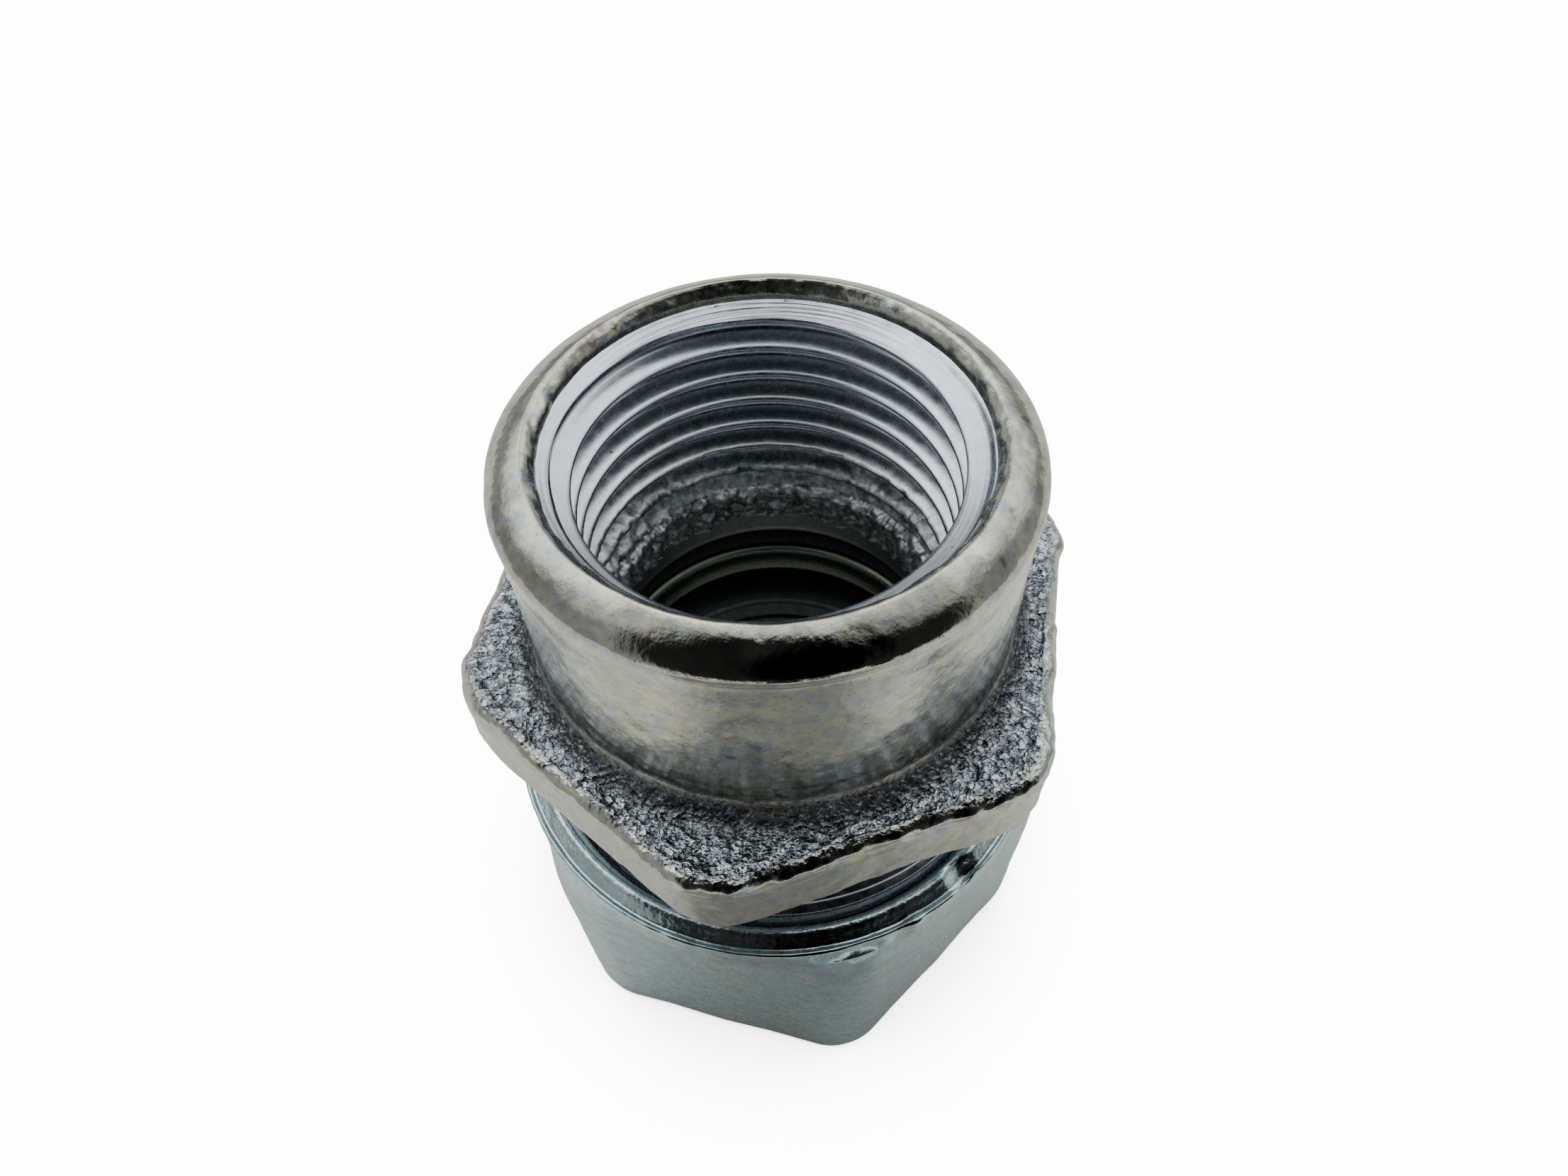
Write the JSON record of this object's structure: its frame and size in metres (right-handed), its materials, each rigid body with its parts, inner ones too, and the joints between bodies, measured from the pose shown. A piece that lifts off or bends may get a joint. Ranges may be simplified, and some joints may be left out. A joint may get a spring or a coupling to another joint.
{
  "type": "pipe union",
  "caption": "Compression union: threaded socket and hex flange, gland nut with split clamp ring, thrust washer and rubber seal.",
  "frame": {"origin": "centre of the underside of the compression nut, on the bore axis", "axes": "+Z along the bore, out of the threaded mouth; two corners of the body's hexagon lie on the Y axis"},
  "size_m": [0.0336, 0.0346, 0.0402],
  "materials": {
    "body_plating": "rough sand cast, bright zinc plated, pitted",
    "nut_plating": "sand cast, zinc plated, blue-grey",
    "washer_steel": "zinc plated, yellow-green tint",
    "clamp_steel": "zinc plated, satin",
    "seal_rubber": "moulded, matt"
  },
  "bodies": {
    "body": {"body": "body_plating", "seal_ring": "seal_rubber", "thrust_washer": "washer_steel"},
    "clamp": {"clamp_ring": "clamp_steel"},
    "nut": {"compression_nut": "nut_plating"}
  },
  "joints": [
    {"name": "nut_lead", "type": "slide", "parent": "body", "child": "clamp", "axis": [0, 0, 1], "range_m": [-0.003, 0.003]},
    {"name": "nut_turn", "type": "hinge", "parent": "clamp", "child": "nut", "pos_m": [0, 0, 0.0067], "axis": [0, 0, 1], "range_deg": [-720, 720]}
  ],
  "couplings": [
    {"joint": "nut_lead", "follows": "nut_turn", "m_per_rad": 0.00023873}
  ]
}
